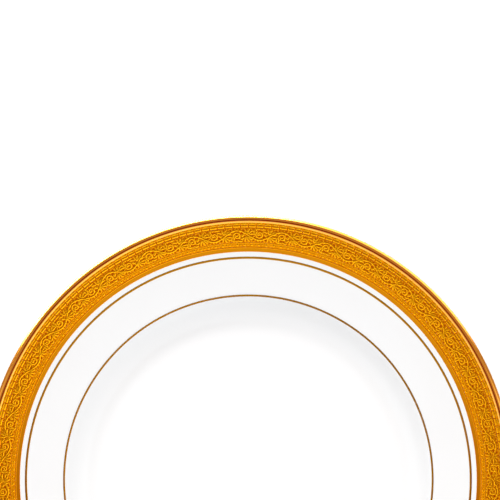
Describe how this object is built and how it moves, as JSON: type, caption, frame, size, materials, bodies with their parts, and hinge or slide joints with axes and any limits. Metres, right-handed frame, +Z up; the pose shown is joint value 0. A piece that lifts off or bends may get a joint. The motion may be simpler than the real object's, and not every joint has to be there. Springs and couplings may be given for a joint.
{
  "type": "dinner plate",
  "caption": "Round rimmed china dinner plate with a shallow well, a foot ring, an encrusted gold border, a gilded lip and two gold hairlines.",
  "frame": {"origin": "centre of the foot rim, on the plane that the plate stands on", "axes": "+Z up along the plate's axis of revolution, out of the well; X and Y lie in the table's plane"},
  "size_m": [0.2698, 0.2698, 0.0207],
  "materials": {
    "biscuit": "matt, unglazed",
    "glazed_china": "clear gloss glaze over white china",
    "etched_gold": "satin, acid-etched relief",
    "polished_gold": "burnished"
  },
  "bodies": {
    "root": {"china_body": "biscuit", "face_glaze": "glazed_china", "base_glaze": "glazed_china", "gilded_lip": "polished_gold", "bead_row": "etched_gold", "dash_row": "etched_gold", "scroll_frieze": "etched_gold", "pearl_row": "etched_gold", "inner_border": "polished_gold", "rim_hairline": "polished_gold", "verge_hairline": "polished_gold"}
  },
  "joints": []
}
